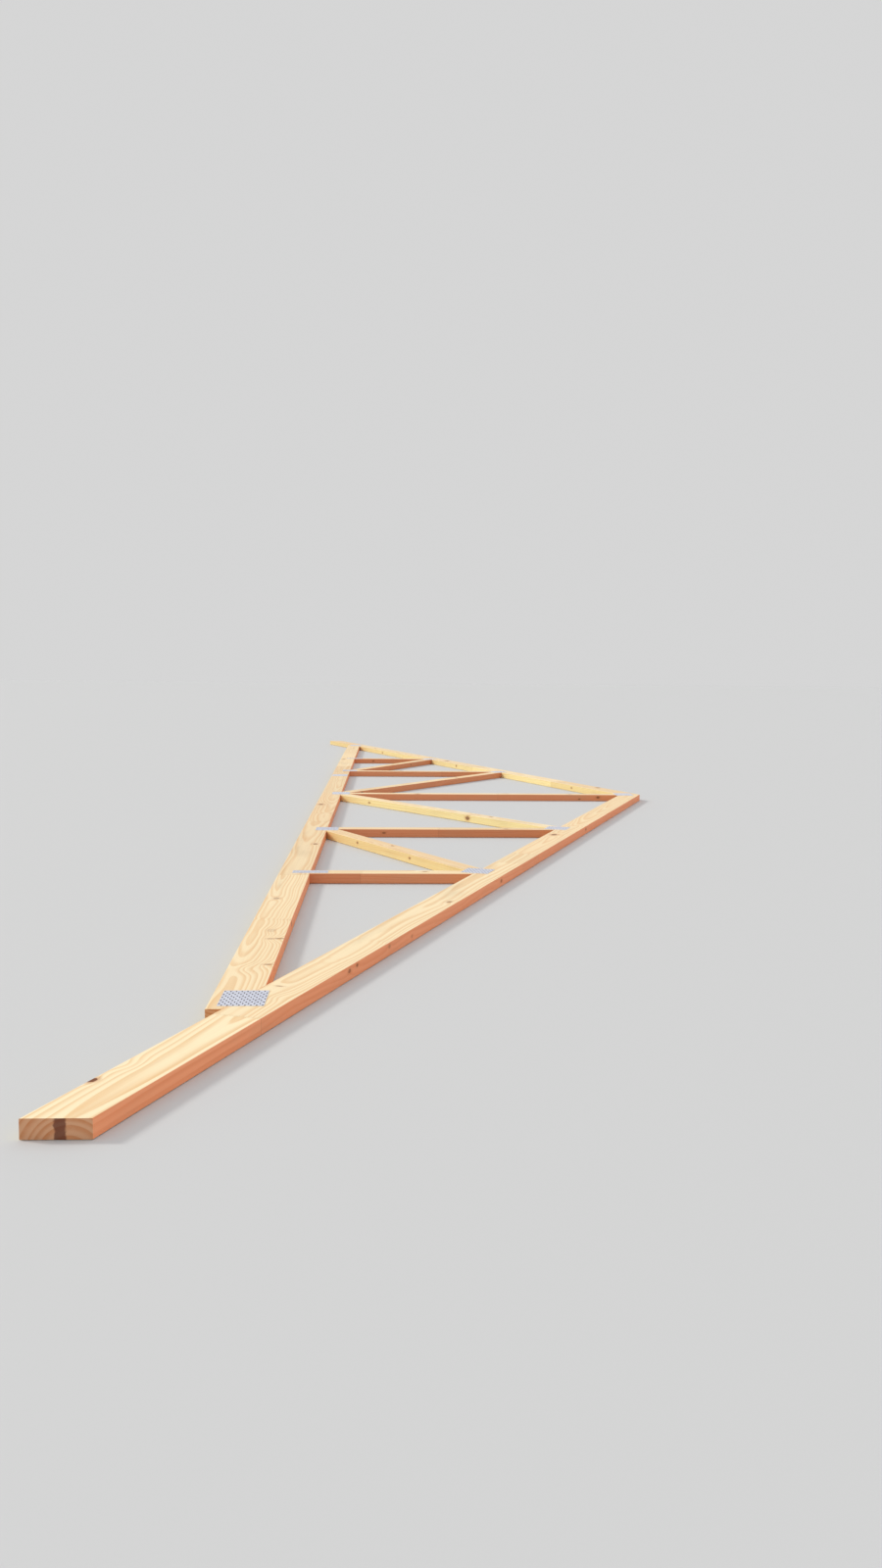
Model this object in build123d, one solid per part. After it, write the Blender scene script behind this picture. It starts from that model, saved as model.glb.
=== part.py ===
from build123d import *

import os
from math import cos, radians, sin, tan

# Gable roof truss of planed pine boards and punched nail plates, lying flat.
#
# Frame: +X runs along the bottom chord, +Y towards the apex and +Z up through
# the thickness. The origin is on the lowest plane, under the middle of the
# outline. "Right" is the +X half and "left" the -X half. Millimetres.

# Outline of the truss
span = 9200.0               # bottom chord, from butt end to butt end
pitch = 20.5                # slope of the top chords, degrees
butt_height = 36.0          # square end of the bottom chord, below its scarf cut
overhang = 640.0            # from the butt end out to the plumb cut of the tail

# Timber, planed from sawn 38 x 114 and 38 x 76
timber_thickness = 36.0
top_chord_width = 111.0
bottom_chord_width = 111.0
web_width = 73.0            # posts and diagonals
arris = 1.0                 # planed off every long edge of a board

# Places of the webs, from mid-span
inner_post_at = 1590.0
outer_post_at = 2810.0
diagonal_toe = 60.0         # lower edge of a diagonal from the post, along the bottom chord
diagonal_drop = 45.0        # its upper end's lower edge from the top chord, down the post
splice_at = 1220.0          # butt joint of the bottom chord, left of mid-span

# Nail plates, each a length (the way its slots run) by a width
plate_thickness = 1.0       # 20 gauge sheet
heel_plate = (127.0, 101.6)
apex_plate = (127.0, 101.6)
splice_plate = (127.0, 101.6)
king_plate = (127.0, 101.6)
outer_foot_plate = (127.0, 50.8)
inner_foot_plate = (101.6, 101.6)
head_plate = (101.6, 101.6)
heel_plate_inset = 22.0     # from the butt end to the plate
heel_plate_lift = 22.0      # from the lower edge of the bottom chord to the plate
apex_plate_lift = 20.0      # plate's middle above the chords' inner corner
web_plate_shift = 25.0      # plate's middle from the post towards the diagonal

# Slots left by the punched teeth, in columns staggered by half a row
slot_length = 11.4
slot_width = 3.2
row_pitch = 25.4
column_pitch = 6.35

half_span = span / 2
tail_at = half_span + overhang
slope = tan(radians(pitch))
web_half = web_width / 2
board_bottom = plate_thickness
board_top = plate_thickness + timber_thickness
right = 1
left = -1


def inner_edge(x):
    """Height of the top chord's lower edge above the bottom chord's lower edge."""
    return butt_height + (half_span - abs(x)) * slope


def outer_edge(x):
    """Height of the top chord's upper edge."""
    return inner_edge(x) + top_chord_width / cos(radians(pitch))


outline_middle = (inner_edge(tail_at) + outer_edge(0)) / 2


def into_frame(shape, side=right):
    """Moves a shape drawn on the right half from the chord's edge into the part's frame."""
    placed = Pos(0, -outline_middle, 0) * shape
    return placed if side == right else mirror(placed, about=Plane.YZ)


def board(points, grain):
    """A board of the timber's thickness, with its long edges planed off along the grain."""
    face = Polygon(*points, align=None)
    blank = Pos(0, 0, board_bottom) * extrude(face, amount=timber_thickness)
    long_edges = blank.edges().filter_by(Axis((0, 0, 0), (cos(grain), sin(grain), 0)))
    return chamfer(long_edges, arris)


def top_chord():
    """Plumb cut at the apex and at the tail, and running on over the heel."""
    points = [
        (0, inner_edge(0)),
        (tail_at, inner_edge(tail_at)),
        (tail_at, outer_edge(tail_at)),
        (0, outer_edge(0)),
    ]
    return board(points, -radians(pitch))


def bottom_chord(start):
    """One length of the bottom chord, from its splice at start to its scarfed heel."""
    scarf_end = half_span - (bottom_chord_width - butt_height) / slope
    points = [
        (start, 0),
        (half_span, 0),
        (half_span, butt_height),
        (scarf_end, bottom_chord_width),
        (start, bottom_chord_width),
    ]
    return board(points, 0)


def king_post():
    """Middle post, pointed to fit under both top chords."""
    points = [
        (-web_half, bottom_chord_width),
        (web_half, bottom_chord_width),
        (web_half, inner_edge(web_half)),
        (0, inner_edge(0)),
        (-web_half, inner_edge(web_half)),
    ]
    return board(points, radians(90))


def post(middle):
    """Upright web, square at its foot and cut to the pitch at its head."""
    points = [
        (middle - web_half, bottom_chord_width),
        (middle + web_half, bottom_chord_width),
        (middle + web_half, inner_edge(middle + web_half)),
        (middle - web_half, inner_edge(middle - web_half)),
    ]
    return board(points, radians(90))


def diagonal(foot_post, head_post):
    """Sloping web, cut at both ends against a chord and the side of a post."""
    near = foot_post + web_half
    far = head_post - web_half
    panel = Polygon(
        (near, bottom_chord_width),
        (far, bottom_chord_width),
        (far, inner_edge(far)),
        (near, inner_edge(near)),
        align=None,
    )
    foot = Vector(near + diagonal_toe, bottom_chord_width)
    head = Vector(far, inner_edge(far) - diagonal_drop)
    along = (head - foot).normalized()
    across = Vector(-along.Y, along.X) * web_width
    run_out = along * (web_width + far - near)
    strip = Polygon(
        foot - run_out,
        head + run_out,
        head + run_out + across,
        foot - run_out + across,
        align=None,
    )
    blank = Pos(0, 0, board_bottom) * extrude(strip & panel, amount=timber_thickness)
    long_edges = blank.edges().filter_by(Axis((0, 0, 0), (along.X, along.Y, 0)))
    return chamfer(long_edges, arris)


def slots(length, width):
    """The staggered pattern of slots that fits on a plate."""
    rows = int(length / row_pitch + 0.01)
    pairs = int(width / (2 * column_pitch) + 0.01)
    grid = GridLocations(row_pitch, 2 * column_pitch, rows, pairs)
    stagger = (row_pitch / 4, column_pitch / 2)
    columns = [Pos(way * stagger[0], way * stagger[1]) for way in (-1, 1)]
    return [column * spot * Rectangle(slot_length, slot_width) for column in columns for spot in grid]


def nail_plate(size, punched):
    """Flat galvanised plate, centred on its joint, with its slots along X."""
    sheet = Rectangle(*size)
    if punched:
        sheet = sheet - slots(*size)
    return extrude(sheet, amount=plate_thickness)


def plate_seats():
    """Name, centre on the right half, turn in degrees, size, punching and sides of each joint."""
    heel_x = half_span - heel_plate_inset - heel_plate[0] / 2
    heel_y = heel_plate_lift + heel_plate[1] / 2
    apex_y = inner_edge(0) + apex_plate_lift
    both = (right, left)
    seats = [
        ("heel", heel_x, heel_y, 0, heel_plate, True, both),
        ("apex", 0, apex_y, 0, apex_plate, True, (right,)),
        ("splice", splice_at, bottom_chord_width / 2, 0, splice_plate, True, (left,)),
        ("king_foot", 0, bottom_chord_width, 0, king_plate, False, (right,)),
        ("outer_foot", outer_post_at, bottom_chord_width, 90, outer_foot_plate, False, both),
    ]
    foot_x = inner_post_at + web_plate_shift
    seats.append(("inner_foot", foot_x, bottom_chord_width, 90, inner_foot_plate, False, both))
    for name, at in (("inner_head", inner_post_at), ("outer_head", outer_post_at)):
        head_x = at - web_plate_shift
        seats.append((name, head_x, inner_edge(head_x), -pitch, head_plate, False, both))
    return seats


def nail_plates():
    """One plate on the upper face and one on the lower face of every joint."""
    plates = {}
    for name, x, y, turn, size, punched, sides in plate_seats():
        blank = Pos(x, y) * Rot(0, 0, turn) * nail_plate(size, punched)
        for side in sides:
            place = name
            if len(sides) == 2:
                place += "_right" if side == right else "_left"
            plates[f"plate_{place}_lower"] = into_frame(blank, side)
            plates[f"plate_{place}_upper"] = into_frame(Pos(0, 0, board_top) * blank, side)
    return plates


def boards():
    """Every board of the truss by name."""
    timber = {
        "king_post": into_frame(king_post()),
        "bottom_chord_right": into_frame(bottom_chord(-splice_at)),
        "bottom_chord_left": into_frame(bottom_chord(splice_at), left),
    }
    halves = {
        "top_chord": top_chord(),
        "post_inner": post(inner_post_at),
        "post_outer": post(outer_post_at),
        "diagonal_inner": diagonal(0, inner_post_at),
        "diagonal_outer": diagonal(inner_post_at, outer_post_at),
    }
    for name, shape in halves.items():
        timber[f"{name}_right"] = into_frame(shape)
        timber[f"{name}_left"] = into_frame(shape, left)
    return timber


os.makedirs("parts", exist_ok=True)
for node, shape in {**boards(), **nail_plates()}.items():
    export_step(shape.solid(), f"parts/{node}.step")
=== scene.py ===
import random
from math import atan2, cos, floor, pi, radians, sin

import bmesh
import bpy
from bpy.props import FloatProperty, FloatVectorProperty, PointerProperty
from mathutils import Matrix, Quaternion, Vector


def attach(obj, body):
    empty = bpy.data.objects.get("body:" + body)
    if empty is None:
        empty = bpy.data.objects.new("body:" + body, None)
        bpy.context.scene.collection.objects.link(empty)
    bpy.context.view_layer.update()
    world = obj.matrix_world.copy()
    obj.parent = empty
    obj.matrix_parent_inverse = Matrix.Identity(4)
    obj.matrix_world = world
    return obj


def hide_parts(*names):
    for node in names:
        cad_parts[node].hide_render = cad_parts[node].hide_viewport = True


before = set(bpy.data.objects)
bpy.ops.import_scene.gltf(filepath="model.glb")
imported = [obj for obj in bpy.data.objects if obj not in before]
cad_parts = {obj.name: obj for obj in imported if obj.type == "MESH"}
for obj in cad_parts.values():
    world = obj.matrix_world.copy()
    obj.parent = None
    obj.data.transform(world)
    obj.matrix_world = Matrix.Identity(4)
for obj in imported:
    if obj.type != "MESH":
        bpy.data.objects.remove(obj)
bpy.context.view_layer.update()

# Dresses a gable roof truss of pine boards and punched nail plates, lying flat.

bl_info = {
    "name": "Nail-plated roof truss",
    "version": (1, 0, 0),
    "blender": (4, 5, 0),
    "location": "3D View > Sidebar > Truss",
    "description": "Dresses the boards and nail plates of a gable roof truss",
    "category": "Object",
}

BODY = "root"
ALL_NODES = sorted(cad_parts)
SIDES = ("right", "left")


def srgb(red, green, blue):
    """A display colour of 0 to 255 as the linear colour that shaders take."""
    return tuple(
        c / 12.92 if c <= 0.04045 else ((c + 0.055) / 1.055) ** 2.4
        for c in (red / 255, green / 255, blue / 255)
    )


# What each length of a board between its finger joints has of its own: the pith's place across and in
# height, the wood's tone and warmth, the closeness of its rings, and where its pith's wander starts
GROWTH = ("pith_across", "pith_height", "tone", "warmth", "closeness", "wander")

# Ranges that chance takes them from, unless a board's marks give them. The pith's height is above or
# below the board's middle.
PITH_ACROSS = (-0.035, 0.035)
PITH_HEIGHT = (0.026, 0.062)
WANDER = (0.0, 90.0)
TONE = (0.94, 1.02)
WARMTH = (0.0, 0.5)
CLOSENESS = (0.7, 1.25)

# Marks on the boards, in metres. Lengths along a board start at its +X end, or at a post's upper end.
# joints: finger joints.
# face_knots: along, across from the middle, radius and darkness of knots through the thickness.
# spike_knots: the same of knots sawn lengthways, which lie across the face.
# edge_knots: along, height from the middle, radius and darkness of knots through the width.
# A knot with no darkness only swirls the grain.
# growth: the first lengths' growth, where it isn't left to chance.
# end_stain: middle and half width of a dark band across the sawn end.
BOARD_MARKS = {
    "top_chord_right": {
        "joints": (0.64, 2.84, 3.09, 4.55),
        "face_knots": (
            (0.203, -0.052, 0.007, 1.0), (0.30, -0.040, 0.010, 0.0), (0.818, 0.012, 0.010, 0.0),
            (2.02, 0.028, 0.008, 0.5), (3.7, -0.02, 0.012, 0.8),
        ),
        "spike_knots": ((0.90, -0.024, 0.009, 0.5),),
        "edge_knots": (
            (1.14, 0.004, 0.005, 0.6), (1.19, 0.007, 0.004, 0.7), (1.42, 0.006, 0.005, 0.35),
            (1.60, -0.004, 0.004, 0.3), (2.55, 0.0, 0.006, 0.6), (4.05, 0.003, 0.006, 0.7),
        ),
        "growth": ((0.012, -0.046, 1.02, 0.0, 0.6, 74.0), (-0.020, 0.060, 1.0, 0.1, 0.7, 26.2)),
        "end_stain": (0.006, 0.010),
    },
    "top_chord_left": {
        "joints": (0.9, 2.15, 3.6, 4.9),
        "face_knots": (
            (0.45, 0.03, 0.011, 0.8), (1.7, -0.03, 0.009, 0.7),
            (2.8, 0.01, 0.013, 0.9), (4.4, -0.02, 0.01, 0.8),
        ),
        "edge_knots": ((0.62, 0.004, 0.005, 0.6), (2.45, 0.006, 0.006, 0.7), (4.1, 0.0, 0.006, 0.7)),
    },
    "bottom_chord_right": {
        "joints": (1.72, 3.25, 4.6),
        "face_knots": (
            (0.36, -0.005, 0.014, 0.0), (0.80, 0.010, 0.012, 0.15), (1.28, -0.02, 0.009, 0.4),
            (2.5, 0.03, 0.009, 0.7), (4.0, -0.03, 0.012, 0.8),
        ),
        "spike_knots": (
            (0.40, 0.0395, 0.010, 0.75), (0.69, 0.018, 0.009, 0.7), (0.692, 0.042, 0.013, 0.6),
        ),
        "edge_knots": ((0.95, 0.005, 0.006, 0.7), (3.6, 0.004, 0.007, 0.7)),
        "growth": ((-0.030, 0.040, 1.0, 0.15, 0.8, 12.0),),
    },
    "bottom_chord_left": {
        "joints": (0.8, 2.2),
        "face_knots": ((0.35, 0.02, 0.01, 0.8), (1.5, -0.03, 0.012, 0.8), (2.9, 0.01, 0.008, 0.6)),
        "edge_knots": ((1.1, 0.005, 0.006, 0.7),),
    },
    "king_post": {
        "joints": (0.72,),
        "face_knots": ((0.3, 0.01, 0.007, 0.7), (1.2, -0.015, 0.009, 0.8)),
        "edge_knots": ((0.13, 0.004, 0.006, 0.8), (0.24, -0.006, 0.004, 0.7)),
    },
    "post_inner_right": {
        "joints": (0.55,),
        "face_knots": ((0.25, -0.012, 0.007, 0.7),),
        "edge_knots": ((0.8, 0.003, 0.005, 0.6),),
    },
    "post_inner_left": {"joints": (0.4,), "face_knots": ((0.7, 0.014, 0.008, 0.8),), "edge_knots": ()},
    "post_outer_right": {"joints": (0.42,), "face_knots": ((0.2, 0.01, 0.006, 0.6),), "edge_knots": ()},
    "post_outer_left": {
        "joints": (),
        "face_knots": ((0.3, -0.01, 0.007, 0.7),),
        "edge_knots": ((0.45, 0.0, 0.005, 0.6),),
    },
    "diagonal_inner_right": {
        "joints": (1.15,),
        "face_knots": ((0.5, 0.01, 0.007, 0.7),),
        "edge_knots": ((0.62, 0.003, 0.009, 0.8), (1.5, 0.0, 0.005, 0.6)),
    },
    "diagonal_inner_left": {
        "joints": (0.95,),
        "face_knots": ((1.3, -0.012, 0.008, 0.7),),
        "edge_knots": ((0.16, 0.006, 0.006, 0.8), (0.17, -0.008, 0.005, 0.8)),
    },
    "diagonal_outer_right": {
        "joints": (),
        "face_knots": ((0.7, 0.012, 0.006, 0.6),),
        "edge_knots": ((0.45, 0.004, 0.004, 0.8), (0.92, 0.006, 0.004, 0.8)),
    },
    "diagonal_outer_left": {
        "joints": (0.6,),
        "face_knots": ((0.35, -0.01, 0.006, 0.6),),
        "edge_knots": ((0.9, 0.0, 0.005, 0.6),),
    },
}

# Stretch of a pattern: how quickly it changes along, across and up through a board or a plate
PITH_STRETCH = (1.3, 3.0, 3.0)
FINE_STREAKS = (5.0, 650.0, 650.0)
BROAD_STREAKS = (1.6, 90.0, 90.0)
DUST_STRETCH = (1.2, 6.0, 6.0)
SCUFF_STRETCH = (7.0, 60.0, 60.0)
ZINC_SCRATCHES = (900.0, 140.0, 400.0)

# Knots: length along the grain as a share of the width, and the way that they run
ROUND_KNOT = 1.6
SPIKE_KNOT = 0.38
FACE_KNOT_WAY = (0.12, 0.05, 0.99)
EDGE_KNOT_WAY = (0.10, 0.99, 0.03)

# Where a knot's wood and its halo fade out, in radii from its axis, and its own rings
KNOT_FADE = (0.85, 1.15)
HALO_FADE = (1.0, 2.6)
RINGS_IN_RADIUS = 4.0

# Swirl of the board's rings around a knot: its pull in radii, and how closely it keeps to the knot
SWIRL_PULL = 1.3
SWIRL_CLOSENESS = 0.42

# Drift of the pith along a board, in metres, and taper of the log
DRIFT_ACROSS = 0.07
DRIFT_UP = 0.05
LOG_TAPER = 0.016

# Growth rings: their unevenness, and the parts of a ring where latewood sets in and ends
RING_UNEVENNESS = 2.4
RING_RISE = (0.25, 0.88)
RING_FALL = (0.92, 1.0)

# Strength of the rings on a broad side, what a sawn end and a narrow edge add to it, and what the
# broad streaks add
SIDE_CONTRAST = 0.19
END_CONTRAST = 0.18
EDGE_CONTRAST = -0.25
STREAK_CONTRAST = 0.75

# How squarely a face has to look along a board, across it, or away from the lamp, to take its finish or
# its painted shade
END_TURN = (0.25, 0.75)
EDGE_TURN = (0.3, 0.8)
SHADED_TURN = (-0.2, 0.5)

# The way that the edges with painted shade face: away from the lamp, where they are darker and more
# orange
SHADED_SIDE = (0.6, 0.8, 0.0)

# Finger joints, in metres
FINGER_LENGTH = 0.010
FINGER_PITCH = 0.0038
GLUE_LINE = 0.0011

# Dark band on a sawn end: how ragged it is, and how far in from the end it can be, in metres
STAIN_RAGGED = 0.008
STAIN_REACH = 0.1

# How far the patterns of dust, scuffs and stains rise before they show, and when they show in full
DUST_RISE = (0.52, 0.78)
SCUFF_RISE = (0.72, 0.8)
ZINC_STAIN_RISE = (0.55, 0.75)

# Colours of marks in the wood and on the zinc
WARM_WOOD = srgb(228, 180, 128)
KNOT_HALO = srgb(190, 118, 66)
KNOT_RING = srgb(158, 96, 52)
GLUE = srgb(140, 88, 52)
END_STAIN = srgb(92, 36, 24)
DUST = srgb(176, 150, 120)
SCUFF = srgb(140, 102, 74)
ZINC_STAIN = srgb(206, 210, 214)
# Grit in the painted shade at the bottom of the slots
SLOT_SHADE_GRIT = srgb(98, 80, 68)

# Meshes: doubles are merged, flat faces are joined, edges past the sharp angle are softened, and a
# board is upright if its longest edge runs along X by less than the limit
MERGE_DISTANCE = 1e-5
FLAT_ANGLE = radians(0.5)
SHARP_ANGLE = radians(30)
UPRIGHT_LIMIT = 1e-4

# Depth of a slot, as a share of the plate's thickness
SLOT_DEPTH = 0.9

# Roughness of the floor and of the painted shade in the slots, which don't shine
MATT = 0.9

# Light and floor
LAMP_STRENGTH = 1.5
LAMP_SPREAD = radians(10)
LAMP_COLOUR = (1.0, 0.96, 0.88)
LAMP_WAY = Vector((0.25, 0.80, -0.55))
SURROUND_LIGHT = (0.81, 0.79, 0.77)
SURROUND_SEEN = (0.67, 0.67, 0.67)
FLOOR_REACH = 60.0

# Camera, fitted to the truss's outline in a photograph of 900 by 1600 pixels
IMAGE_HEIGHT_PIXELS = 1600
FOCAL_PIXELS = 1255.6
SENSOR_HEIGHT = 36.0
VIEW_LIMIT = 200.0
CAMERA_PLACE = Vector((7.1927, -0.4443, 0.7644))
CAMERA_HEADING = radians(177.57)
CAMERA_DOWN = radians(5.32)
CAMERA_ROLL = radians(0.51)


class TrussSettings(bpy.types.PropertyGroup):
    """Sizes and colours of the truss's finish"""

    saw_edge: FloatProperty(
        name="Saw edge", description="Softening of the boards' sawn edges",
        default=0.0004, unit="LENGTH", subtype="DISTANCE")
    slot_length: FloatProperty(
        name="Slot length", description="Length of a slot in a nail plate",
        default=0.0114, unit="LENGTH", subtype="DISTANCE")
    slot_width: FloatProperty(
        name="Slot width", description="Width of a slot in a nail plate",
        default=0.0032, unit="LENGTH", subtype="DISTANCE")
    row_pitch: FloatProperty(
        name="Row pitch", description="Distance between slots along their length",
        default=0.0254, unit="LENGTH", subtype="DISTANCE")
    column_pitch: FloatProperty(
        name="Column pitch", description="Distance between columns of slots",
        default=0.00635, unit="LENGTH", subtype="DISTANCE")
    tooth_root: FloatProperty(
        name="Tooth root", description="How far a tooth's bent root reaches into its slot",
        default=0.0009, unit="LENGTH", subtype="DISTANCE")
    ring_spacing: FloatProperty(
        name="Ring spacing", description="Distance between growth rings",
        default=0.0075, unit="LENGTH", subtype="DISTANCE")
    earlywood: FloatVectorProperty(
        name="Earlywood", description="Pale wood between the rings",
        default=srgb(252, 235, 197), size=3, subtype="COLOR")
    latewood: FloatVectorProperty(
        name="Latewood", description="Darker wood of the rings",
        default=srgb(232, 187, 130), size=3, subtype="COLOR")
    # Painted shade: a warm, darker tint on the edges that face away from the lamp, set apart for the
    # chords and the webs
    chord_edge_tint: FloatVectorProperty(
        name="Chord edge tint",
        description="Multiplies the wood's colour on the chords' weathered edges",
        default=(1.0, 0.46, 0.335), size=3, subtype="COLOR")
    web_shade_tint: FloatVectorProperty(
        name="Web edge tint",
        description="Multiplies the wood's colour on the webs' weathered edges",
        default=(0.76, 0.36, 0.265), size=3, subtype="COLOR")
    # Painted sunlight: a yellower tint on the edges that face the lamp
    sunlit_tint: FloatVectorProperty(
        name="Pale edge tint", description="Multiplies the wood's colour on the other edges",
        default=(1.0, 1.0, 0.75), size=3, subtype="COLOR")
    end_tint: FloatVectorProperty(
        name="End tint", description="Multiplies the wood's colour on the sawn ends",
        default=(0.67, 0.422, 0.348), size=3, subtype="COLOR")
    knot: FloatVectorProperty(
        name="Knot", description="Colour of the knots",
        default=srgb(112, 62, 34), size=3, subtype="COLOR")
    zinc: FloatVectorProperty(
        name="Zinc", description="Colour of the galvanised plates",
        default=srgb(235, 239, 255), size=3, subtype="COLOR")
    # Painted shade: a dark colour at the bottom of the slots, where the punched holes lie in shadow
    slot_shade: FloatVectorProperty(
        name="Slot floor", description="Colour of the crushed wood in the slots",
        default=srgb(62, 56, 60), size=3, subtype="COLOR")
    floor: FloatVectorProperty(
        name="Floor", description="Colour of the floor",
        default=(0.61, 0.63, 0.655), size=3, subtype="COLOR")


def link_input(tree, target, value):
    """Links a socket into an input, or writes a plain value to it."""
    if isinstance(value, bpy.types.NodeSocket):
        tree.links.new(value, target)
    else:
        target.default_value = value


def add(tree, kind, inputs=None, out=0, **settings):
    """Adds a node, fills its inputs by name or number, and returns one of its outputs."""
    node = tree.nodes.new(kind)
    for name, value in settings.items():
        setattr(node, name, value)
    for key, value in (inputs or {}).items():
        link_input(tree, node.inputs[key], value)
    return node.outputs[out]


def maths(tree, operation, first, second=0.0, third=0.0):
    """One Math node."""
    return add(tree, "ShaderNodeMath", {0: first, 1: second, 2: third}, operation=operation)


def vector_maths(tree, operation, first, second=(0.0, 0.0, 0.0), out=0):
    """One Vector Math node."""
    return add(tree, "ShaderNodeVectorMath", {0: first, 1: second}, out, operation=operation)


def scaled(tree, vector, factor):
    """A vector or a colour times a number."""
    return add(tree, "ShaderNodeVectorMath", {0: vector, "Scale": factor}, operation="SCALE")


def smooth_step(tree, value, low, high, start=0.0, end=1.0):
    """A smooth change from start to end as the value goes from low to high."""
    inputs = {0: value, 1: low, 2: high, 3: start, 4: end}
    return add(tree, "ShaderNodeMapRange", inputs, interpolation_type="SMOOTHSTEP")


def noise(tree, vector, scale, detail=2.0, roughness=0.5, out="Fac"):
    """One Noise Texture."""
    inputs = {"Vector": vector, "Scale": scale, "Detail": detail, "Roughness": roughness}
    return add(tree, "ShaderNodeTexNoise", inputs, out, noise_dimensions="3D")


def mix_colour(tree, factor, first, second, blend="MIX"):
    """Mixes two colours, given as sockets or linear triples."""
    first = first if isinstance(first, bpy.types.NodeSocket) else (*first, 1.0)
    second = second if isinstance(second, bpy.types.NodeSocket) else (*second, 1.0)
    inputs = {0: factor, 6: first, 7: second}
    return add(tree, "ShaderNodeMix", inputs, 2, data_type="RGBA", blend_type=blend)


def combine(tree, x, y, z):
    """A vector from its three parts."""
    return add(tree, "ShaderNodeCombineXYZ", {0: x, 1: y, 2: z})


def new_material(name):
    """A new material, with its node tree and its shader."""
    material = bpy.data.materials.new(name)
    material.use_nodes = True
    tree = material.node_tree
    return material, tree, tree.nodes["Principled BSDF"]


def add_relief(tree, shader, height, strength, depth):
    """Gives a surface its small relief, of a depth in metres."""
    inputs = {"Height": height, "Strength": strength, "Distance": depth}
    link_input(tree, shader.inputs["Normal"], add(tree, "ShaderNodeBump", inputs, "Normal"))


def knot_group():
    """A group for the distance from a knot's axis in radii, with an uneven outline and smoothly."""
    if "Knot distance" in bpy.data.node_groups:
        return bpy.data.node_groups["Knot distance"]
    group = bpy.data.node_groups.new("Knot distance", "ShaderNodeTree")
    for name, kind in (("Point", "NodeSocketVector"), ("Centre", "NodeSocketVector"),
                       ("Axis", "NodeSocketVector"), ("Radius", "NodeSocketFloat"),
                       ("Length", "NodeSocketFloat")):
        group.interface.new_socket(name, in_out="INPUT", socket_type=kind)
    for name in ("Ratio", "Reach"):
        group.interface.new_socket(name, in_out="OUTPUT", socket_type="NodeSocketFloat")
    entry = group.nodes.new("NodeGroupInput").outputs
    result = group.nodes.new("NodeGroupOutput").inputs
    offset = vector_maths(group, "SUBTRACT", entry["Point"], entry["Centre"])
    rough = noise(group, entry["Point"], scale=90.0)
    uneven = maths(group, "MULTIPLY_ADD", rough, 0.5, 0.75)
    for name, length, outline in (("Ratio", entry["Length"], uneven), ("Reach", ROUND_KNOT, 1.0)):
        shrink = combine(group, maths(group, "DIVIDE", 1.0, length), 1.0, 1.0)
        even = vector_maths(group, "MULTIPLY", offset, shrink)
        crossed = vector_maths(group, "CROSS_PRODUCT", even, entry["Axis"])
        distance = vector_maths(group, "LENGTH", crossed, out="Value")
        distance = maths(group, "MULTIPLY", distance, outline)
        group.links.new(maths(group, "DIVIDE", distance, entry["Radius"]), result[name])
    return group


def knot_marks(tree, point, knots):
    """Darkness of the knots' wood, halos and own rings, and their pull on the board's rings."""
    inside, halo, rings, pull = 0.0, 0.0, 0.0, 0.0
    for centre, axis, length, radius, darkness in knots:
        node = tree.nodes.new("ShaderNodeGroup")
        node.node_tree = knot_group()
        link_input(tree, node.inputs["Point"], point)
        node.inputs["Centre"].default_value = centre
        node.inputs["Axis"].default_value = axis
        node.inputs["Radius"].default_value = radius
        node.inputs["Length"].default_value = length
        ratio = node.outputs["Ratio"]
        near = maths(tree, "MULTIPLY", node.outputs["Reach"], SWIRL_CLOSENESS)
        squared = maths(tree, "MULTIPLY", near, near)
        bell = maths(tree, "EXPONENT", maths(tree, "MULTIPLY", squared, -1.0))
        pull = maths(tree, "MULTIPLY_ADD", bell, radius * SWIRL_PULL, pull)
        if darkness > 0:
            here = smooth_step(tree, ratio, *KNOT_FADE, start=darkness, end=0.0)
            around = smooth_step(tree, ratio, *HALO_FADE, start=0.5 * darkness, end=0.0)
            bands = maths(tree, "FRACT", maths(tree, "MULTIPLY", ratio, RINGS_IN_RADIUS))
            inside = maths(tree, "MAXIMUM", here, inside)
            halo = maths(tree, "MAXIMUM", around, halo)
            rings = maths(tree, "MULTIPLY_ADD", here, bands, rings)
    return inside, halo, rings, pull


def finger_joints(tree, point, joints):
    """For each joint, 1 beyond its zigzag line, and the strength of the glue line of them all."""
    parts = add(tree, "ShaderNodeSeparateXYZ", {0: point}).node.outputs
    wave = maths(tree, "PINGPONG", parts["Y"], FINGER_PITCH / 2)
    along = maths(tree, "MULTIPLY_ADD", wave, 2 * FINGER_LENGTH / FINGER_PITCH, parts["X"])
    beyond, line = [], 0.0
    for joint in joints:
        beyond.append(maths(tree, "LESS_THAN", along, joint))
        away = maths(tree, "ABSOLUTE", maths(tree, "SUBTRACT", along, joint))
        here = smooth_step(tree, away, 0.0, GLUE_LINE, start=1.0, end=0.0)
        line = maths(tree, "MAXIMUM", here, line)
    return beyond, line


def stepped(tree, beyond, values):
    """A number that changes at each finger joint."""
    result = values[0]
    for passed, before, after in zip(beyond, values, values[1:]):
        result = maths(tree, "MULTIPLY_ADD", passed, after - before, result)
    return result


def from_pith(tree, part, pith, wander, drift):
    """Distance from the pith one way, as it drifts to both sides of its place."""
    straight = maths(tree, "SUBTRACT", maths(tree, "SUBTRACT", part, pith), drift / 2)
    return maths(tree, "MULTIPLY_ADD", wander, drift, straight)


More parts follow.
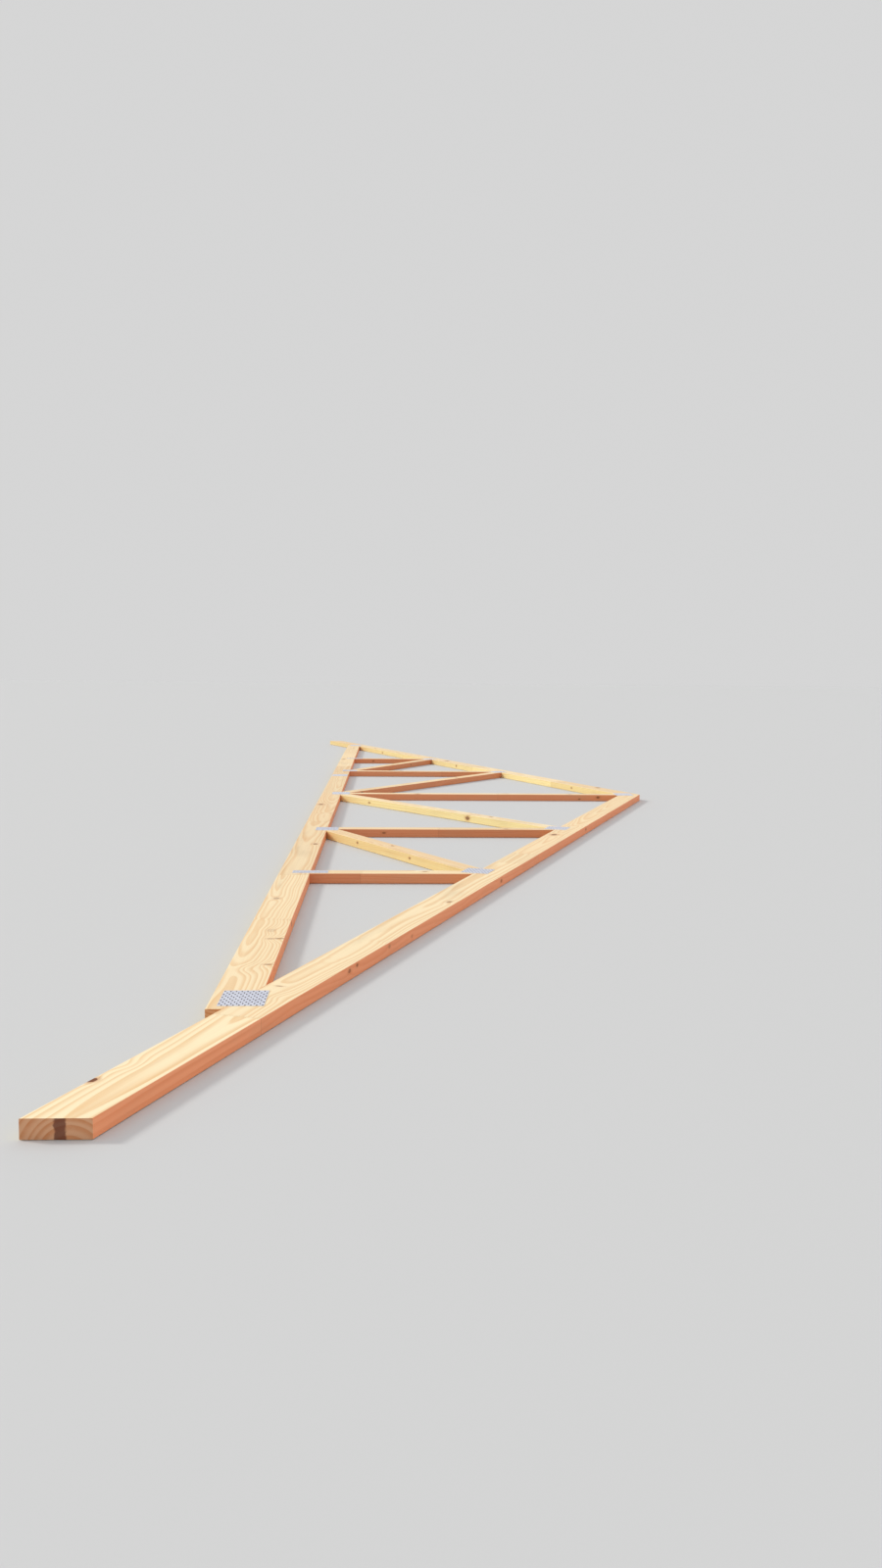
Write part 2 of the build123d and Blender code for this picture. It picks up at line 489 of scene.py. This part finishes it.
def ring_radius(tree, point, beyond, board):
    """Distance from the pith, which wanders along the board and is another past a finger joint."""
    parts = add(tree, "ShaderNodeSeparateXYZ", {0: point}).node.outputs
    slow = vector_maths(tree, "MULTIPLY", point, PITH_STRETCH)
    start = combine(tree, stepped(tree, beyond, board["wander"]), 0.0, 0.0)
    moved = vector_maths(tree, "ADD", slow, start)
    drift = noise(tree, moved, scale=1.0, roughness=0.35, out="Color")
    wander = add(tree, "ShaderNodeSeparateXYZ", {0: drift}).node.outputs
    pith_across = stepped(tree, beyond, board["pith_across"])
    pith_height = stepped(tree, beyond, board["pith_height"])
    across = from_pith(tree, parts["Y"], pith_across, wander["X"], DRIFT_ACROSS)
    up = from_pith(tree, parts["Z"], pith_height, wander["Y"], DRIFT_UP)
    squares = maths(tree, "MULTIPLY_ADD", across, across, maths(tree, "MULTIPLY", up, up))
    return maths(tree, "MULTIPLY_ADD", parts["X"], LOG_TAPER, maths(tree, "SQRT", squares))


def ring_bands(tree, radius, spacing):
    """Latewood from 0 to 1: it darkens slowly across each ring and ends sharply."""
    coarse = noise(tree, combine(tree, radius, 0.0, 0.0), scale=38.0)
    count = maths(tree, "DIVIDE", radius, spacing)
    uneven = maths(tree, "MULTIPLY_ADD", coarse, RING_UNEVENNESS, count)
    part = maths(tree, "FRACT", uneven)
    rise = smooth_step(tree, part, *RING_RISE)
    fall = smooth_step(tree, part, *RING_FALL, start=1.0, end=0.0)
    return maths(tree, "MULTIPLY", rise, fall)


def fibres(tree, point):
    """Fine and broad streaks along the grain."""
    thin = vector_maths(tree, "MULTIPLY", point, FINE_STREAKS)
    wide = vector_maths(tree, "MULTIPLY", point, BROAD_STREAKS)
    fine = noise(tree, thin, scale=1.0, detail=3.0, roughness=0.6)
    broad = noise(tree, wide, scale=1.0)
    return fine, broad


def face_masks(tree, turn):
    """How far a point is on a narrow edge, on a sawn end, and on a side that faces away from the lamp
    and takes painted shade.
    """
    normal = add(tree, "ShaderNodeTexCoord", out="Normal")
    axis = (cos(turn), sin(turn), 0.0)
    across = (-sin(turn), cos(turn), 0.0)
    end = maths(tree, "ABSOLUTE", vector_maths(tree, "DOT_PRODUCT", normal, axis, "Value"))
    end = smooth_step(tree, end, *END_TURN)
    edge = maths(tree, "ABSOLUTE", vector_maths(tree, "DOT_PRODUCT", normal, across, "Value"))
    edge = smooth_step(tree, edge, *EDGE_TURN)
    edge = maths(tree, "MULTIPLY", edge, maths(tree, "SUBTRACT", 1.0, end))
    shade_facing = vector_maths(tree, "DOT_PRODUCT", normal, SHADED_SIDE, "Value")
    return edge, end, smooth_step(tree, shade_facing, *SHADED_TURN)


def grown_colour(tree, board, beyond, late, streaks, masks, settings):
    """Colour of the rings and streaks, with less contrast on the edges and more on the ends."""
    fine, broad = streaks
    edge, end, _ = masks
    contrast = maths(tree, "MULTIPLY_ADD", end, END_CONTRAST, SIDE_CONTRAST)
    contrast = maths(tree, "MULTIPLY_ADD", edge, EDGE_CONTRAST, contrast)
    strength = maths(tree, "MULTIPLY_ADD", broad, STREAK_CONTRAST, contrast)
    ring = maths(tree, "MULTIPLY", late, strength)
    colour = mix_colour(tree, ring, settings.earlywood, settings.latewood)
    warmth = stepped(tree, beyond, board["warmth"])
    warm = maths(tree, "MULTIPLY", warmth, maths(tree, "ADD", broad, 0.3))
    colour = mix_colour(tree, warm, colour, WARM_WOOD)
    streak = maths(tree, "MULTIPLY_ADD", fine, 0.20, 0.90)
    tone = maths(tree, "MULTIPLY", streak, stepped(tree, beyond, board["tone"]))
    return scaled(tree, colour, tone)


def tinted_sides(tree, colour, masks, shade_tint, settings):
    """The wood's colour with painted shade on the edges that face away from the lamp, painted sunlight
    on the other edges, and the tint of its sawn ends.
    """
    edge, end, shadowed = masks
    tint = mix_colour(tree, shadowed, settings.sunlit_tint, shade_tint)
    colour = mix_colour(tree, edge, colour, tint, "MULTIPLY")
    return mix_colour(tree, end, colour, settings.end_tint, "MULTIPLY")


def stained_end(tree, point, colour, end, board):
    """The wood's colour with a dark band across one sawn end."""
    parts = add(tree, "ShaderNodeSeparateXYZ", {0: point}).node.outputs
    middle, half = board["end_stain"]
    rough = noise(tree, point, scale=120.0)
    ragged = maths(tree, "MULTIPLY_ADD", rough, STAIN_RAGGED, -STAIN_RAGGED / 2)
    across = maths(tree, "ADD", parts["Y"], ragged)
    away = maths(tree, "ABSOLUTE", maths(tree, "SUBTRACT", across, middle))
    band = smooth_step(tree, away, half * 0.7, half * 1.1, start=0.8, end=0.0)
    near_end = maths(tree, "GREATER_THAN", parts["X"], board["end"] - STAIN_REACH)
    band = maths(tree, "MULTIPLY", maths(tree, "MULTIPLY", band, end), near_end)
    return mix_colour(tree, band, colour, END_STAIN)


def handling_marks(tree, point, colour):
    """The wood's colour with faint grey smudges and a few darker scuffs."""
    broad = vector_maths(tree, "MULTIPLY", point, DUST_STRETCH)
    cloud = noise(tree, broad, scale=2.0, detail=5.0, roughness=0.6)
    dusty = smooth_step(tree, cloud, *DUST_RISE, end=0.22)
    colour = mix_colour(tree, dusty, colour, DUST)
    narrow = vector_maths(tree, "MULTIPLY", point, SCUFF_STRETCH)
    scuff = noise(tree, narrow, scale=1.0, detail=3.0, roughness=0.7)
    scuffed = smooth_step(tree, scuff, *SCUFF_RISE, end=0.35)
    return mix_colour(tree, scuffed, colour, SCUFF)


def pine_material(name, board, shade_tint, settings):
    """Planed pine as a solid: growth rings, finger joints, knots, sawn ends, handling marks, and
    painted light and shade on its edges.
    """
    material, tree, shader = new_material("pine_" + name)
    place = add(tree, "ShaderNodeTexCoord", out="Object")
    inputs = {"Vector": place, "Location": board["centre"], "Rotation": (0.0, 0.0, board["turn"])}
    point = add(tree, "ShaderNodeMapping", inputs, vector_type="TEXTURE")
    beyond, glue = finger_joints(tree, point, board["joints"])
    inside, halo, knot_rings, pull = knot_marks(tree, point, board["knots"])
    radius = maths(tree, "ADD", ring_radius(tree, point, beyond, board), pull)
    radius = maths(tree, "MULTIPLY", radius, stepped(tree, beyond, board["closeness"]))
    late = ring_bands(tree, radius, settings.ring_spacing)
    fine, broad = fibres(tree, point)
    masks = face_masks(tree, board["turn"])
    colour = grown_colour(tree, board, beyond, late, (fine, broad), masks, settings)
    colour = tinted_sides(tree, colour, masks, shade_tint, settings)
    if board["end_stain"]:
        colour = stained_end(tree, point, colour, masks[1], board)
    colour = mix_colour(tree, halo, colour, KNOT_HALO)
    knot_ring = maths(tree, "MULTIPLY", knot_rings, 0.5)
    knot_colour = mix_colour(tree, knot_ring, settings.knot, KNOT_RING)
    colour = mix_colour(tree, inside, colour, knot_colour)
    colour = mix_colour(tree, maths(tree, "MULTIPLY", glue, 0.5), colour, GLUE)
    colour = handling_marks(tree, point, colour)
    link_input(tree, shader.inputs["Base Color"], colour)
    height = maths(tree, "MULTIPLY_ADD", late, 0.35, maths(tree, "MULTIPLY", fine, 0.45))
    height = maths(tree, "MULTIPLY_ADD", glue, -0.4, height)
    add_relief(tree, shader, height, strength=0.35, depth=0.0006)
    link_input(tree, shader.inputs["Roughness"], maths(tree, "MULTIPLY_ADD", fine, 0.18, 0.52))
    shader.inputs["Specular IOR Level"].default_value = 0.3
    return material


def zinc_material(settings):
    """Galvanised sheet: faint spangle, dull patches and small scratches."""
    if "galvanised_zinc" in bpy.data.materials:
        return bpy.data.materials["galvanised_zinc"]
    material, tree, shader = new_material("galvanised_zinc")
    place = add(tree, "ShaderNodeTexCoord", out="Object")
    cells = add(tree, "ShaderNodeTexVoronoi", {"Vector": place, "Scale": 150.0}, "Color")
    spangle = add(tree, "ShaderNodeSeparateColor", {0: cells})
    dull = noise(tree, place, scale=35.0, detail=4.0, roughness=0.6)
    level = maths(tree, "MULTIPLY_ADD", dull, 0.3, 0.76)
    level = maths(tree, "MULTIPLY_ADD", spangle, 0.16, level)
    colour = scaled(tree, tuple(settings.zinc), level)
    stain = smooth_step(tree, dull, *ZINC_STAIN_RISE, end=0.3)
    colour = mix_colour(tree, stain, colour, ZINC_STAIN)
    link_input(tree, shader.inputs["Base Color"], colour)
    link_input(tree, shader.inputs["Roughness"], maths(tree, "MULTIPLY_ADD", spangle, 0.16, 0.38))
    shader.inputs["Metallic"].default_value = 0.75
    drawn = vector_maths(tree, "MULTIPLY", place, ZINC_SCRATCHES)
    add_relief(tree, shader, noise(tree, drawn, scale=1.0), strength=0.2, depth=0.0003)
    return material


def slot_shade_material(settings):
    """Painted shade at the bottom of the slots: dark, gritty and matt, standing for the shadow over the
    crushed wood.
    """
    if "slot_shade" in bpy.data.materials:
        return bpy.data.materials["slot_shade"]
    material, tree, shader = new_material("slot_shade")
    place = add(tree, "ShaderNodeTexCoord", out="Object")
    grit = noise(tree, place, scale=900.0, detail=3.0, roughness=0.6)
    colour = mix_colour(tree, grit, settings.slot_shade, SLOT_SHADE_GRIT)
    link_input(tree, shader.inputs["Base Color"], colour)
    shader.inputs["Roughness"].default_value = MATT
    add_relief(tree, shader, grit, strength=0.6, depth=0.0006)
    return material


def merged_copy(node):
    """A bmesh of a CAD node with its doubles merged and its flat faces whole again."""
    bm = bmesh.new()
    bm.from_mesh(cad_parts[node].data)
    bmesh.ops.remove_doubles(bm, verts=bm.verts, dist=MERGE_DISTANCE)
    bmesh.ops.dissolve_limit(bm, angle_limit=FLAT_ANGLE, verts=bm.verts, edges=bm.edges)
    return bm


def grain_turn(bm):
    """Angle of a board's longest edge to +X, from -90 to +90 degrees, a post's being +90."""
    longest = max(bm.edges, key=lambda edge: edge.calc_length())
    way = longest.verts[1].co - longest.verts[0].co
    if way.x < -UPRIGHT_LIMIT or (abs(way.x) <= UPRIGHT_LIMIT and way.y < 0):
        way = -way
    return atan2(way.y, way.x)


def box_along(bm, turn):
    """Centre and size of a bmesh along a turned X axis, with Y and Z across it."""
    level = Matrix.Rotation(-turn, 3, "Z")
    points = [level @ vert.co for vert in bm.verts]
    low = Vector(min(p[i] for p in points) for i in range(3))
    high = Vector(max(p[i] for p in points) for i in range(3))
    return level.inverted() @ ((low + high) / 2), high - low


def board_knots(marks, end):
    """Centre, way, length as a share of the width, radius and darkness of each knot."""
    knots = [((end - along, across, 0.0), FACE_KNOT_WAY, ROUND_KNOT, radius, darkness)
             for along, across, radius, darkness in marks["face_knots"]]
    knots += [((end - along, across, 0.0), FACE_KNOT_WAY, SPIKE_KNOT, radius, darkness)
              for along, across, radius, darkness in marks.get("spike_knots", ())]
    knots += [((end - along, 0.0, height), EDGE_KNOT_WAY, ROUND_KNOT, radius, darkness)
              for along, height, radius, darkness in marks["edge_knots"]]
    return knots


def measure_board(name, bm):
    """Turn, centre and marks of a board, and the growth of each length between its finger joints."""
    turn = grain_turn(bm)
    centre, size = box_along(bm, turn)
    end = size.x / 2
    marks = BOARD_MARKS[name]
    growth = board_growth(name, len(marks["joints"]) + 1)
    known = marks.get("growth", ())
    growth[:len(known)] = known
    board = dict(zip(GROWTH, zip(*growth)))
    board.update({
        "turn": turn,
        "centre": centre,
        "end": end,
        "joints": [end - joint for joint in marks["joints"]],
        "knots": board_knots(marks, end),
        "end_stain": marks.get("end_stain"),
    })
    return board


def board_growth(name, count):
    """Growth of each length of a board by chance, in the order that GROWTH names."""
    chance = random.Random(name)
    piths = [(chance.uniform(*PITH_ACROSS), chance.choice((-1, 1)) * chance.uniform(*PITH_HEIGHT))
             for _ in range(count)]
    wanders = [chance.uniform(*WANDER) for _ in range(count)]
    tones = [chance.uniform(*TONE) for _ in range(count)]
    warmths = [chance.uniform(*WARMTH) for _ in range(count)]
    closeness = [chance.uniform(*CLOSENESS) for _ in range(count)]
    return [(*pith, *rest) for pith, *rest in zip(piths, tones, warmths, closeness, wanders)]


def add_piece(name, bm, node, material):
    """Turns a bmesh into a piece that rides on the truss and stands for a CAD node."""
    mesh = bpy.data.meshes.new(name)
    bm.to_mesh(mesh)
    bm.free()
    mesh.materials.append(material)
    piece = bpy.data.objects.new(name, mesh)
    bpy.context.scene.collection.objects.link(piece)
    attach(piece, BODY)
    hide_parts(node)
    return piece


def add_board(name, slot, settings):
    """One board with softened saw edges and its own pine."""
    bm = merged_copy(name)
    board = measure_board(name, bm)
    sharp = [edge for edge in bm.edges if edge.calc_face_angle(0.0) > SHARP_ANGLE]
    bmesh.ops.bevel(bm, geom=sharp, offset=settings.saw_edge, segments=2, profile=0.5,
                    affect="EDGES", material=-1)
    # Painted shade for the edges that face away from the lamp, darker on the webs
    shade_tint = settings.web_shade_tint if slot == "web_pine" else settings.chord_edge_tint
    add_piece("pine_" + name, bm, name, pine_material(name, board, shade_tint, settings))


def plate_turn(node):
    """Angle to +X of the way that a plate's slots run."""
    if "_head_" in node:
        bm = merged_copy("top_chord_right" if "right" in node else "top_chord_left")
        turn = grain_turn(bm)
        bm.free()
        return turn
    return 0.0 if "king" in node or "_foot_" not in node else pi / 2


def slot_cells(bm, size, settings):
    """Insets every cell of the sheet and shrinks it to its slot, in columns staggered by half a row."""
    cells = list(bm.faces)
    # Any rim narrower than half a column will do, because the scale below sets the slot's size
    rim = settings.column_pitch / 5
    bmesh.ops.inset_individual(bm, faces=cells, thickness=rim, use_even_offset=True)
    shrink = Vector((settings.slot_length / (settings.row_pitch - 2 * rim),
                     settings.slot_width / (settings.column_pitch - 2 * rim), 1.0))
    for cell in cells:
        centre = cell.calc_center_median()
        column = floor((centre.y + size.y / 2) / settings.column_pitch)
        stagger = settings.row_pitch / 4 * (1 if column % 2 else -1)
        bmesh.ops.scale(bm, vec=shrink, space=Matrix.Translation(-centre), verts=cell.verts)
        bmesh.ops.translate(bm, vec=(stagger, 0.0, 0.0), verts=cell.verts)
    return cells


def sink_slot(bm, cell, depth, settings):
    """Sinks a slot down to a floor of painted shade, with the root of a bent tooth sloping in at each
    end.
    """
    walls = bmesh.ops.extrude_face_region(bm, geom=[cell])["geom"]
    bottom = [item for item in walls if isinstance(item, bmesh.types.BMFace)][0]
    middle = bottom.calc_center_median()
    taper = Vector((1.0 - 2 * settings.tooth_root / settings.slot_length, 1.0, 1.0))
    bmesh.ops.scale(bm, vec=taper, space=Matrix.Translation(-middle), verts=bottom.verts)
    bmesh.ops.translate(bm, vec=(0.0, 0.0, -depth), verts=bottom.verts)
    # The floor takes the painted shade
    bottom.material_index = 1


def punched_sheet(size, settings):
    """A closed sheet around the origin, with its slots along X and open upwards."""
    bm = bmesh.new()
    bmesh.ops.create_grid(bm, x_segments=round(size.x / settings.row_pitch),
                          y_segments=round(size.y / settings.column_pitch), size=0.5)
    bmesh.ops.scale(bm, vec=(size.x, size.y, 1.0), verts=bm.verts)
    cells = slot_cells(bm, size, settings)
    rim = [edge for edge in bm.edges if edge.is_boundary]
    skirt = bmesh.ops.extrude_edge_only(bm, edges=rim)["geom"]
    skirt = [item for item in skirt if isinstance(item, bmesh.types.BMVert)]
    bmesh.ops.translate(bm, vec=(0.0, 0.0, -size.z), verts=skirt)
    for cell in cells:
        sink_slot(bm, cell, SLOT_DEPTH * size.z, settings)
    bmesh.ops.delete(bm, geom=cells, context="FACES_ONLY")
    bmesh.ops.holes_fill(bm, edges=[edge for edge in bm.edges if edge.is_boundary])
    bmesh.ops.recalc_face_normals(bm, faces=bm.faces)
    bmesh.ops.translate(bm, vec=(0.0, 0.0, size.z / 2), verts=bm.verts)
    return bm


def add_nail_plate(node, settings):
    """One punched plate, with its teeth towards the boards."""
    turn = plate_turn(node)
    solid = merged_copy(node)
    centre, size = box_along(solid, turn)
    solid.free()
    bm = punched_sheet(size, settings)
    if node.endswith("_lower"):
        bmesh.ops.rotate(bm, matrix=Matrix.Rotation(pi, 3, "X"), verts=bm.verts)
    bmesh.ops.rotate(bm, matrix=Matrix.Rotation(turn, 3, "Z"), verts=bm.verts)
    bmesh.ops.translate(bm, vec=centre, verts=bm.verts)
    piece = add_piece("zinc_" + node, bm, node, zinc_material(settings))
    # The second material is the painted shade in the slots
    piece.data.materials.append(slot_shade_material(settings))


class TRUSS_OT_top_chords(bpy.types.Operator):
    """Dress the two sloping top chords"""

    bl_idname = "truss.top_chords"
    bl_label = "Top chords"

    def execute(self, context):
        for side in SIDES:
            add_board("top_chord_" + side, "chord_pine", context.scene.truss)
        return {"FINISHED"}


class TRUSS_OT_bottom_chord(bpy.types.Operator):
    """Dress the two lengths of the bottom chord"""

    bl_idname = "truss.bottom_chord"
    bl_label = "Bottom chord"

    def execute(self, context):
        for side in SIDES:
            add_board("bottom_chord_" + side, "chord_pine", context.scene.truss)
        return {"FINISHED"}


class TRUSS_OT_posts(bpy.types.Operator):
    """Dress the king post and the four other posts"""

    bl_idname = "truss.posts"
    bl_label = "Posts"

    def execute(self, context):
        add_board("king_post", "web_pine", context.scene.truss)
        for place in ("inner", "outer"):
            for side in SIDES:
                add_board(f"post_{place}_{side}", "web_pine", context.scene.truss)
        return {"FINISHED"}


class TRUSS_OT_diagonals(bpy.types.Operator):
    """Dress the four diagonal webs"""

    bl_idname = "truss.diagonals"
    bl_label = "Diagonals"

    def execute(self, context):
        for place in ("inner", "outer"):
            for side in SIDES:
                add_board(f"diagonal_{place}_{side}", "web_pine", context.scene.truss)
        return {"FINISHED"}


class TRUSS_OT_nail_plates(bpy.types.Operator):
    """Punch the nail plates on both faces of every joint"""

    bl_idname = "truss.nail_plates"
    bl_label = "Nail plates"

    def execute(self, context):
        for node in ALL_NODES:
            if node.startswith("plate_"):
                add_nail_plate(node, context.scene.truss)
        return {"FINISHED"}


def add_floor(settings):
    """A wide pale floor under the truss."""
    bm = bmesh.new()
    bmesh.ops.create_grid(bm, x_segments=1, y_segments=1, size=FLOOR_REACH)
    mesh = bpy.data.meshes.new("floor")
    bm.to_mesh(mesh)
    bm.free()
    material, _, shader = new_material("pale_floor")
    shader.inputs["Base Color"].default_value = (*settings.floor, 1.0)
    shader.inputs["Roughness"].default_value = MATT
    mesh.materials.append(material)
    ground = bpy.data.objects.new("floor", mesh)
    bpy.context.scene.collection.objects.link(ground)


def add_light():
    """An even pale surround and one wide soft lamp from the left."""
    world = bpy.data.worlds.new("studio")
    bpy.context.scene.world = world
    world.use_nodes = True
    tree = world.node_tree
    rays = add(tree, "ShaderNodeLightPath").node.outputs
    seen = maths(tree, "MAXIMUM", rays["Is Camera Ray"], rays["Is Glossy Ray"])
    seen = maths(tree, "MAXIMUM", seen, rays["Is Transmission Ray"])
    surround = mix_colour(tree, seen, SURROUND_LIGHT, SURROUND_SEEN)
    link_input(tree, tree.nodes["Background"].inputs["Color"], surround)
    lamp = bpy.data.lights.new("soft_key", "SUN")
    lamp.energy = LAMP_STRENGTH
    lamp.angle = LAMP_SPREAD
    lamp.color = LAMP_COLOUR
    key = bpy.data.objects.new("soft_key", lamp)
    key.rotation_mode = "QUATERNION"
    key.rotation_quaternion = LAMP_WAY.to_track_quat("-Z", "Y")
    bpy.context.scene.collection.objects.link(key)


def add_camera():
    """The camera, at the photograph's place and angle."""
    data = bpy.data.cameras.new("camera")
    data.sensor_fit = "VERTICAL"
    data.sensor_height = SENSOR_HEIGHT
    data.sensor_width = SENSOR_HEIGHT
    data.lens = SENSOR_HEIGHT * FOCAL_PIXELS / IMAGE_HEIGHT_PIXELS
    data.clip_end = VIEW_LIMIT
    camera = bpy.data.objects.new("camera", data)
    level = cos(CAMERA_DOWN)
    ahead = Vector((cos(CAMERA_HEADING) * level, sin(CAMERA_HEADING) * level, -sin(CAMERA_DOWN)))
    roll = Quaternion((0.0, 0.0, 1.0), CAMERA_ROLL)
    camera.rotation_mode = "QUATERNION"
    camera.rotation_quaternion = ahead.to_track_quat("-Z", "Y") @ roll
    camera.location = CAMERA_PLACE
    bpy.context.scene.collection.objects.link(camera)
    bpy.context.scene.camera = camera


class TRUSS_OT_stage(bpy.types.Operator):
    """Add the floor, the light and the camera"""

    bl_idname = "truss.stage"
    bl_label = "Stage"

    def execute(self, context):
        add_floor(context.scene.truss)
        add_light()
        add_camera()
        context.scene.view_settings.view_transform = "Standard"
        return {"FINISHED"}


class TRUSS_PT_panel(bpy.types.Panel):
    """Lists the truss's operators and settings"""

    bl_idname = "TRUSS_PT_panel"
    bl_label = "Roof truss"
    bl_space_type = "VIEW_3D"
    bl_region_type = "UI"
    bl_category = "Truss"

    def draw(self, context):
        for name in TrussSettings.__annotations__:
            self.layout.prop(context.scene.truss, name)
        for operator in OPERATORS:
            self.layout.operator(operator.bl_idname)


OPERATORS = (
    TRUSS_OT_top_chords,
    TRUSS_OT_bottom_chord,
    TRUSS_OT_posts,
    TRUSS_OT_diagonals,
    TRUSS_OT_nail_plates,
    TRUSS_OT_stage,
)
CLASSES = (TrussSettings, *OPERATORS, TRUSS_PT_panel)


def register():
    for kind in CLASSES:
        bpy.utils.register_class(kind)
    bpy.types.Scene.truss = PointerProperty(type=TrussSettings)


def unregister():
    del bpy.types.Scene.truss
    for kind in reversed(CLASSES):
        bpy.utils.unregister_class(kind)


def main():
    register()
    bpy.ops.truss.top_chords()
    bpy.ops.truss.bottom_chord()
    bpy.ops.truss.posts()
    bpy.ops.truss.diagonals()
    bpy.ops.truss.nail_plates()
    bpy.ops.truss.stage()


if __name__ == "__main__":
    main()
